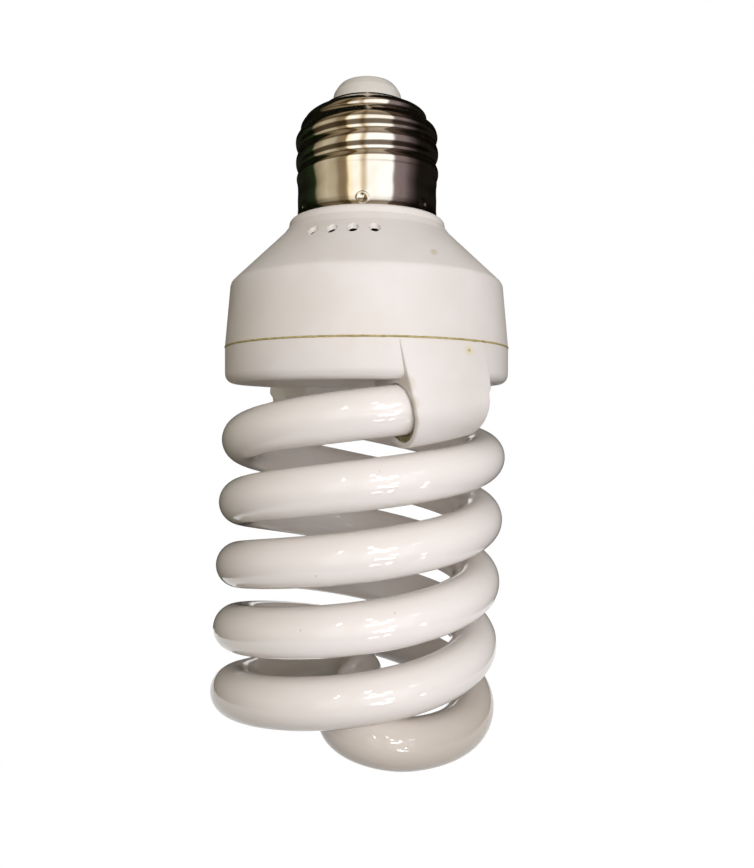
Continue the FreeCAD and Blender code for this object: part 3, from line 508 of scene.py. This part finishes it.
coverOutline = roundedOutline([
    (10.55, -10.35, 0), (11.65, -10.35, 0.2), (11.65, -19.45, 0), (12.35, -19.45, 0), (12.35, -25.75, 0),
    (14.3, -25.75, 0.85), (14.48, -27.2, 0.4), (15.5, -28.6, 0.5), (25.0, -37.8, 1.6), (26.05, -49.1, 0.12),
    (24.95, -49.1, 0), (24.95, -45.6, 0), (24.1, -37.8, 0.5), (10.55, -24.7, 0.5)])
coverRows = turnedRows(fillOutline(coverOutline, cover["spacing"]), cover["around"])
ballastCover = makePiece(
    "ballastCover", [(coverRows, True)], housingPlastic, "ballast_cover", cover["sharpAngle"])


def roundPeg(radius, top, bottom, x, y, sides=40, core=0.01):  # an upright peg, to cut a round hole
    outline = np.array([[core, top], [radius, top], [radius, bottom], [core, bottom]])
    return turnedRows(outline, sides) + [x, y, 0]


def ventCutters():  # one peg for each vent, in two groups half a turn apart
    pegs = []
    for side in (0, 180):
        for azimuth in cover["ventAzimuths"]:
            a = math.radians(azimuth + side)
            x, y = cover["ventRing"] * math.sin(a), -cover["ventRing"] * math.cos(a)
            pegs.append(roundPeg(cover["ventRadius"], cover["ventTop"], cover["ventFoot"], x, y))
    return pegs


def cutAway(piece, pegs):  # an exact boolean that is applied at once, so that nothing live is left
    points, faces, offset = [], [], 0
    for rows in pegs:
        n, m = rows.shape[:2]
        points.append(rows.reshape(-1, 3))
        faces += gridFaces(n, m, False, offset).tolist()
        faces += [list(range(offset + m - 1, offset - 1, -1)), list(range(offset + (n - 1) * m, offset + n * m))]
        offset += n * m
    mesh = bpy.data.meshes.new("cutter")
    mesh.from_pydata((np.concatenate(points) * mm).tolist(), [], faces)
    cutter = bpy.data.objects.new("cutter", mesh)
    bpy.context.scene.collection.objects.link(cutter)
    tidyMesh(cutter)
    modifier = piece.modifiers.new("cut", "BOOLEAN")
    modifier.operation = "DIFFERENCE"
    modifier.solver = "EXACT"
    modifier.object = cutter
    graph = bpy.context.evaluated_depsgraph_get()
    result = bpy.data.meshes.new_from_object(piece.evaluated_get(graph))
    piece.modifiers.clear()
    old = piece.data
    piece.data = result
    bpy.data.meshes.remove(old)
    bpy.data.objects.remove(cutter)
    bpy.data.meshes.remove(mesh)


cutAway(ballastCover, ventCutters())
ballastCover.data.set_sharp_from_angle(angle=math.radians(cover["sharpAngle"]))
print("upper housing:", len(ballastCover.data.polygons), "faces")


# Lower housing: shallow cup with two horns that take the tube's ends

holder = dict(
    top=-49.35, around=260, spacing=2.2, mouthAzimuth=13.0, mouthFacing=27.0, endAzimuth=49.0, hornRadius=5.85,
    channelRadius=4.85, hornTopReach=4.14, hornInnerTop=(2.9, 1.2), hornInnerHeights=(7.4, 6.6), hornSink=0.2,
    followFrom=0.5, followTo=5.0, edge=0.32, endDraw=2.7, endInsets=(3.5, 1.6), mouthFlare=0.2, flareCorner=0.06,
    channelStops=(0.2, 1.5, 4.0, 7.0, 9.0), hornSpacing=0.5, underSteps=40, hornSteps=26, edgeSteps=5, flareSteps=6)

holderOutline = roundedOutline([
    (0.02, -55.7, 0), (26.05, -55.7, 1.7), (26.05, -49.35, 0.15), (24.85, -49.35, 0), (24.85, -46.1, 0.2),
    (23.65, -46.1, 0.2), (23.65, -50.55, 0.2), (24.25, -51.75, 0.2), (24.25, -54.1, 0.5), (0.02, -54.1, 0)])
holderRing = turnedRows(fillOutline(holderOutline, holder["spacing"], closed=False), holder["around"])


def hornPlace(section, follow, azimuth):
    # A point of the horn's section, (outwards, up) from the tube's middle, carried round the axis to an azimuth.
    # Where follow is 1 it rises with the tube, and where it is 0 it keeps the height that it has at the mouth.
    turn = holder["mouthAzimuth"] + follow * (azimuth - holder["mouthAzimuth"])
    a = np.radians(azimuth)
    r = spiral["coilRadius"] + section[:, 0]
    z = spiral["startHeight"] + spiral["pitch"] / 360.0 * turn + section[:, 1]
    return np.stack([r * np.sin(a), -r * np.cos(a), z], axis=1)


def behindMouth(section, follow, behind):
    # The azimuth at which each point of the section lies that far behind the mouth's flat face. The gap to that
    # plane, divided by the point's own radius, is the angle still to go, and eight rounds of it settle.
    tilt = math.atan(spiral["pitch"] / (2 * math.pi * spiral["coilRadius"]))
    facing = math.radians(holder["mouthFacing"] + 90)
    normal = np.array([math.sin(facing) * math.cos(tilt), -math.cos(facing) * math.cos(tilt), math.sin(tilt)])
    middle = hornPlace(np.zeros((1, 2)), np.ones(1), np.full(1, holder["mouthAzimuth"]))[0]
    azimuth = np.full(len(section), holder["mouthAzimuth"])
    for _ in range(8):
        gap = (hornPlace(section, follow, azimuth) - middle) @ normal - behind
        azimuth = azimuth - np.degrees(gap / (spiral["coilRadius"] + section[:, 0]))
    return azimuth


def hornLoop():
    # The horn's section as a loop of (outwards, up) about the tube's middle: half round below, straight sides, and a
    # narrow top that ends in the ring's wall. With it, how far each point follows the tube's rise: wholly at the
    # bottom, and not at all where the horn joins the ring.
    r = holder["hornRadius"]
    rise = spiral["pitch"] * holder["mouthAzimuth"] / 360.0
    top = holder["top"] - spiral["startHeight"] - rise - holder["hornSink"]
    (topInner, shoulder), (shoulderHeight, innerHeight) = holder["hornInnerTop"], holder["hornInnerHeights"]
    outline = roundedOutline([
        (r, 0.0, 0), (holder["hornTopReach"], top, 0.1), (topInner, top, 0), (shoulder, shoulderHeight, 0),
        (-r, innerHeight, 0), (-r, 0.0, 0)])
    bottom = np.linspace(math.pi, 2 * math.pi, holder["underSteps"])[1:-1]
    under = np.stack([r * np.cos(bottom), r * np.sin(bottom)], axis=1)
    loop = fillOutline(np.concatenate([outline, under]), holder["hornSpacing"])
    return loop, 1 - smoothStep(loop[:, 1], holder["followFrom"], holder["followTo"])


def hornRows(side):
    # Rows of the same loop from the closed end to the mouth, where it turns in over a small rounded lip, narrows to
    # the round channel and runs back inside it. The second horn is the first turned by 180 degrees.
    loop, follow = hornLoop()
    ones = np.ones(len(loop))
    angle = np.arctan2(loop[:, 1], loop[:, 0])
    hole = np.stack([np.cos(angle), np.sin(angle)], axis=1) * holder["channelRadius"]
    length = np.linalg.norm(loop, axis=1, keepdims=True)
    edge, flareCorner = holder["edge"], holder["flareCorner"]
    quarter = np.linspace(0, math.pi / 2, holder["edgeSteps"])
    shrunk = [loop * (1 - (inset + edge) / length) for inset in holder["endInsets"]]
    end = holder["endAzimuth"] - holder["endDraw"] * follow
    rows = [hornPlace(section, follow, end) for section in shrunk]
    degree = math.degrees(edge / spiral["coilRadius"])
    for t in quarter:
        section = loop * (1 - edge * (1 - math.sin(t)) / length)
        rows.append(hornPlace(section, follow, end - degree * (1 - math.cos(t))))
    start = end - degree
    finish = behindMouth(loop, follow, edge)
    for t in np.linspace(0, 1, holder["hornSteps"])[1:-1]:
        rows.append(hornPlace(loop, follow, start + (finish - start) * t))
    for t in quarter:
        section = loop * (1 - edge * (1 - math.cos(t)) / length)
        rows.append(hornPlace(section, follow, behindMouth(section, follow, edge * (1 - math.sin(t)))))
    lip = loop * (1 - edge / length)
    wide = hole * (1 + holder["mouthFlare"] / holder["channelRadius"])
    for t in np.linspace(0, 1, holder["flareSteps"])[1:]:
        section, follows = lip + (wide - lip) * t, follow + (1 - follow) * t
        rows.append(hornPlace(section, follows, behindMouth(section, follows, 0.0)))
    corner = hole * (1 + flareCorner / holder["channelRadius"])  # leads from the flare into the channel
    rows.append(hornPlace(corner, ones, behindMouth(corner, ones, flareCorner)))
    for behind in holder["channelStops"]:
        rows.append(hornPlace(hole, ones, behindMouth(hole, ones, behind)))
    return np.stack(rows) * ([-1, -1, 1] if side else [1, 1, 1])


tubeHolder = makePiece(
    "tubeHolder", [(holderRing, False), (hornRows(0), False), (hornRows(1), False)], housingPlastic,
    "tube_holder", sharpAngle=35)
print("lower housing:", len(tubeHolder.data.polygons), "faces")


# Glue line between the housings, and cement round the tube's ends

glue = dict(
    radius=26.08, height=-49.22, thickness=0.32, swell=0.02, drift=0.018, driftShift=37,
    waves=(3, 7, 12, 19, 31, 47, 71, 97), around=720, seed=4)


def glueRows():
    # A thin bead whose radius and height wander by a few hundredths of a millimetre: a sum of cosines round the axis,
    # each with its own height and start. The height wanders by the same sum, begun elsewhere. The section is given
    # outwards in millimetres and up in thicknesses.
    rng = np.random.default_rng(glue["seed"])
    a = np.linspace(0, 2 * math.pi, glue["around"], endpoint=False)
    waves = sum(rng.uniform(0.3, 1.0) * np.cos(k * a + rng.uniform(0, 6.28)) for k in glue["waves"])
    swell = glue["radius"] + glue["swell"] * waves
    drift = glue["height"] + glue["drift"] * np.roll(waves, glue["driftShift"])
    section = np.array([[-1.2, -0.4], [-0.1, -0.5], [0.0, -0.3], [0.05, 0.0], [0.0, 0.3], [-0.1, 0.5], [-1.2, 0.4]])
    r = swell[None] + section[:, 0:1]
    z = drift[None] + section[:, 1:2] * glue["thickness"]
    return np.stack([r * np.sin(a), -r * np.cos(a), z], axis=-1)


makePiece("seamGlue", [(glueRows(), True)], glueYellow, "seam_adhesive")

cement = dict(setBack=0.4, depth=6.0, outer=4.9, inner=3.9, waves=(2, 5, 9, 14, 23, 37), around=160, seed=7)


def cementRows(side):
    # A ring between the channel and the tube. Its front lies behind the mouth's flat face by the set-back, which
    # wanders round the ring by a sum of cosines. Each row has its radius, its distance behind the mouth and its share
    # of the wandering.
    rng = np.random.default_rng(cement["seed"] + side)
    a = np.linspace(0, 2 * math.pi, cement["around"], endpoint=False)
    bumps = sum(rng.uniform(0.3, 1.0) * np.cos(k * a + rng.uniform(0, 6.28)) for k in cement["waves"])
    unit = np.stack([np.cos(a), np.sin(a)], axis=1)
    ones = np.ones(len(a))
    front = cement["setBack"]
    rows = []
    for radius, behind, wander in (
            (cement["outer"], cement["depth"], 0), (cement["outer"], front, 0.05), (4.65, front + 0.08, 0.08),
            (4.4, front + 0.16, 0.08), (4.15, front + 0.1, 0.05), (cement["inner"], front + 0.3, 0.03),
            (cement["inner"], cement["depth"], 0)):
        section = unit * radius
        rows.append(hornPlace(section, ones, behindMouth(section, ones, behind + wander * bumps)))
    return np.stack(rows) * ([-1, -1, 1] if side else [1, 1, 1])


makePiece("tubeCement", [(cementRows(0), True), (cementRows(1), True)], cementOlive, "tube_cement")
print("glue and cement made")


# Stage: pale floor, world, lamps and camera

# Heights in mm, the floor's size in metres. The white share is how much of the floor rays see as plain white.
stage = dict(
    floorHeight=-119.2, floorSize=0.12, floorColor="#8D8A86", whiteShare=0.92, whiteStrength=1.085, aimHeight=-65.0)


def paleGround(name):
    # Matt white board. Camera, mirror and transmitted rays see it as plain white for the most part, and the small
    # share that is lit keeps the lamp's shadow.
    material = bpy.data.materials.new(name)
    material.use_nodes = True
    tree = material.node_tree
    tree.nodes.clear()
    path = addNode(tree, "ShaderNodeLightPath")
    seen = addNode(tree, "ShaderNodeMath", {
        0: path.outputs["Is Camera Ray"], 1: path.outputs["Is Glossy Ray"]}, operation="MAXIMUM")
    seen = addNode(tree, "ShaderNodeMath", {0: seen, 1: path.outputs["Is Transmission Ray"]}, operation="MAXIMUM")
    share = addNode(tree, "ShaderNodeMath", {0: seen, 1: stage["whiteShare"]}, operation="MULTIPLY")
    plain = addNode(tree, "ShaderNodeBsdfDiffuse", {"Color": hexColor(stage["floorColor"])})
    white = addNode(tree, "ShaderNodeEmission", {"Color": hexColor("#FFFFFF"), "Strength": stage["whiteStrength"]})
    mix = addNode(tree, "ShaderNodeMixShader", {0: share, 1: plain, 2: white})
    addNode(tree, "ShaderNodeOutputMaterial", {"Surface": mix})
    return material


def makeFloor():  # one square under the tube's foot
    half = stage["floorSize"] / 2
    z = stage["floorHeight"] * mm
    mesh = bpy.data.meshes.new("paleFloor")
    mesh.from_pydata([(-half, -half, z), (half, -half, z), (half, half, z), (-half, half, z)], [], [(0, 1, 2, 3)])
    floor = bpy.data.objects.new("paleFloor", mesh)
    mesh.materials.append(paleGround("matt white board"))
    bpy.context.scene.collection.objects.link(floor)


# What stands round the lamp, by azimuth from the front: (degrees, colour). Mirror rays alone see it. Straight behind
# the lamp they see the white background.
roomBands = [
    (-180, "#FFFFFF"), (-178, "#FFFFFF"), (-176, "#1B1916"), (-120, "#14160F"), (-93, "#17260F"), (-88, "#857C69"),
    (-80, "#9A917D"), (-68, "#B1A894"), (-52, "#A69C88"), (-45, "#7C6D58"), (-33, "#7A674C"), (-29, "#FFEFCC"),
    (-21, "#FFFFFF"), (-12, "#FFFBF0"), (-6, "#B39C7A"), (-2, "#D8CCBA"), (1, "#FFFFFF"), (40, "#FFFFFF"),
    (44, "#7A6F72"), (62, "#74686B"), (73, "#4E4446"), (84, "#2A2627"), (91, "#15120F"), (176, "#161412"),
    (178, "#FFFFFF"), (180, "#FFFFFF")]
# The room's shades from below (0) to above (1), bright in a belt a little above the horizon that narrows to the
# sides, and the dome's, which gives the even light
roomShades = [
    (0.0, "#5A5248"), (0.27, "#6F655A"), (0.37, "#FFFFFF"), (0.66, "#FFFFFF"), (0.78, "#6E6256"), (0.87, "#8E8272"),
    (1.0, "#B4A998")]
domeShades = [(0.1, "#766B55"), (0.45, "#E9DFC6"), (0.7, "#F8F1E0")]
surroundings = dict(mirrorStrength=1.5, domeStrength=0.41, beltHeight=0.12, beltNarrowing=0.25)


def makeWorld():
    # Mirror rays see the room, camera and transmitted rays see plain white, and the dome lights the lamp. The belt's
    # height is scaled up by the square of the azimuth, which narrows it to the sides.
    world = bpy.data.worlds.new("studio")
    bpy.context.scene.world = world
    world.use_nodes = True
    tree = world.node_tree
    tree.nodes.clear()
    direction = addNode(tree, "ShaderNodeTexCoord").outputs["Generated"]
    part = addNode(tree, "ShaderNodeSeparateXYZ", {0: direction})
    front = addNode(tree, "ShaderNodeMath", {0: part.outputs["Y"], 1: -1.0}, operation="MULTIPLY")
    turn = addNode(tree, "ShaderNodeMath", {0: part.outputs["X"], 1: front}, operation="ARCTAN2")
    around = addNode(tree, "ShaderNodeMapRange", {
        "Value": turn, "From Min": -math.pi, "From Max": math.pi, "To Min": 0.0, "To Max": 1.0})
    bands = addNode(tree, "ShaderNodeValToRGB", {"Fac": around}, stops=[
        ((degrees + 180) / 360, code) for degrees, code in roomBands])
    aside = addNode(tree, "ShaderNodeMath", {0: turn, 1: turn}, operation="MULTIPLY")
    narrower = addNode(
        tree, "ShaderNodeMath", {0: aside, 1: surroundings["beltNarrowing"], 2: 1.0}, operation="MULTIPLY_ADD")
    raised = addNode(
        tree, "ShaderNodeMath", {0: part.outputs["Z"], 1: surroundings["beltHeight"]}, operation="SUBTRACT")
    spread = addNode(tree, "ShaderNodeMath", {0: raised, 1: narrower}, operation="MULTIPLY")
    height = addNode(tree, "ShaderNodeMapRange", {
        "Value": spread, "From Min": -1.0, "From Max": 1.0, "To Min": 0.0, "To Max": 1.0})
    shade = addNode(tree, "ShaderNodeValToRGB", {"Fac": height}, stops=roomShades)
    room = addNode(
        tree, "ShaderNodeMix", {0: 1.0, 6: bands, 7: shade}, data_type="RGBA", blend_type="MULTIPLY").outputs[2]
    mirror = addNode(tree, "ShaderNodeBackground", {"Color": room, "Strength": surroundings["mirrorStrength"]})
    upward = addNode(tree, "ShaderNodeMapRange", {
        "Value": part.outputs["Z"], "From Min": -1.0, "From Max": 1.0, "To Min": 0.0, "To Max": 1.0})
    dome = addNode(tree, "ShaderNodeValToRGB", {"Fac": upward}, stops=domeShades)
    ambient = addNode(tree, "ShaderNodeBackground", {"Color": dome, "Strength": surroundings["domeStrength"]})
    white = addNode(tree, "ShaderNodeBackground", {"Color": hexColor("#FFFFFF"), "Strength": 1.0})
    path = addNode(tree, "ShaderNodeLightPath")
    seen = addNode(tree, "ShaderNodeMath", {
        0: path.outputs["Is Camera Ray"], 1: path.outputs["Is Transmission Ray"]}, operation="MAXIMUM")
    first = addNode(tree, "ShaderNodeMixShader", {0: path.outputs["Is Glossy Ray"], 1: ambient, 2: mirror})
    last = addNode(tree, "ShaderNodeMixShader", {0: seen, 1: first, 2: white})
    addNode(tree, "ShaderNodeOutputWorld", {"Surface": last})


# Soft lamps: azimuth, elevation, distance in metres, width and height in metres, watts, colour
softLamps = {
    "frontSoft": (12.0, 9.0, 0.50, 0.24, 0.24, 1.74, "#FDFAFF"),
    "rightSoft": (50.0, -12.0, 0.50, 0.24, 0.24, 0.38, "#E6EDFF"),
    "backSoft": (188.0, 2.0, 0.50, 0.30, 0.30, 1.65, "#FCFAFF"),
}
# The slatted window and the small lights that the glass mirrors: azimuth, elevation, width and height in degrees, and
# share of the radiance
windowStrokes = [
    (4.3, 41.0, 3.7, 7.0, 1.0), (9.6, 30.0, 3.8, 7.0, 1.0), (9.0, 18.0, 8.0, 6.5, 1.0), (16.4, 20.0, 6.5, 8.0, 1.0),
    (22.0, 25.0, 6.0, 8.0, 0.8), (15.6, -11.0, 8.0, 6.5, 1.0), (22.7, -14.0, 9.0, 6.5, 1.0),
    (25.0, -2.0, 4.5, 5.5, 1.0), (15.2, -33.0, 7.5, 6.0, 0.6), (26.0, -33.0, 4.0, 8.0, 0.8),
    (-19.7, 33.0, 3.0, 9.0, 1.0), (43.0, 28.0, 9.0, 5.0, 0.35), (50.8, -16.0, 3.6, 7.0, 0.9),
    (53.5, -30.0, 3.4, 7.0, 0.9), (46.6, -46.0, 3.2, 8.0, 0.9)]
mirrored = dict(distance=0.55, radiance=15.0)  # the strokes' distance in metres


def placeLamp(name, azimuth, elevation, distance, width, height, watts, code):
    # An area lamp at that distance from the aimed point on the axis, facing it
    data = bpy.data.lights.new(name, "AREA")
    data.shape = "RECTANGLE"
    data.size, data.size_y = width, height
    data.energy = watts
    data.color = hexColor(code)[:3]
    a, e = math.radians(azimuth), math.radians(elevation)
    away = np.array([math.sin(a) * math.cos(e), -math.cos(a) * math.cos(e), math.sin(e)])
    side = np.cross([0, 0, 1], away)
    side /= np.linalg.norm(side)
    up = np.cross(away, side)
    axes = np.eye(4)
    axes[:3, 0], axes[:3, 1], axes[:3, 2] = side, up, away
    axes[:3, 3] = np.array([0.0, 0.0, stage["aimHeight"] * mm]) + away * distance
    lamp = bpy.data.objects.new(name, data)
    lamp.matrix_world = Matrix(axes.tolist())
    lamp.visible_camera = False
    bpy.context.scene.collection.objects.link(lamp)
    return lamp


def makeLamps():
    # The soft lamps light everything and are mirrored by nothing. The strokes are mirrored by the glass alone and add
    # no diffuse light. A flat lamp's watts are its radiance times pi times its area.
    for name, (azimuth, elevation, distance, width, height, watts, code) in softLamps.items():
        placeLamp(name, azimuth, elevation, distance, width, height, watts, code).visible_glossy = False
    glassOnly = bpy.data.collections.new("glassOnly")
    glassOnly.objects.link(spiralTube)
    for i, (azimuth, elevation, width, height, share) in enumerate(windowStrokes):
        w, h = (2 * mirrored["distance"] * math.tan(math.radians(v / 2)) for v in (width, height))
        watts = share * mirrored["radiance"] * math.pi * w * h
        stroke = placeLamp(f"windowStroke{i}", azimuth, elevation, mirrored["distance"], w, h, watts, "#FFFFFF")
        stroke.light_linking.receiver_collection = glassOnly
        stroke.visible_diffuse = stroke.visible_transmission = False


view = dict(  # place in mm, tilts in radians
    place=(0.0, -142.09, -61.27), pitch=0.02565, roll=0.00192, yaw=0.013627, focalPixels=757.23, imageHeight=868,
    sensorHeight=36.0, clipStart=0.01)


def makeCamera():  # the viewpoint and the tilts were fitted to the lamp's edges
    data = bpy.data.cameras.new("camera")
    data.sensor_fit = "VERTICAL"
    data.sensor_height = view["sensorHeight"]
    data.lens = view["focalPixels"] * view["sensorHeight"] / view["imageHeight"]
    data.clip_start = view["clipStart"]
    camera = bpy.data.objects.new("camera", data)
    turn = (Matrix.Rotation(view["yaw"], 3, "Z") @ Matrix.Rotation(view["roll"], 3, "Y")
            @ Matrix.Rotation(view["pitch"], 3, "X"))
    right, forward, up = turn
    axes = Matrix((right, up, -forward)).transposed().to_4x4()
    axes.translation = [v * mm for v in view["place"]]
    camera.matrix_world = axes
    bpy.context.scene.collection.objects.link(camera)
    bpy.context.scene.camera = camera


makeFloor()
makeWorld()
makeLamps()
makeCamera()
bpy.context.scene.view_settings.view_transform = "Standard"
print("stage, lamps and camera made")
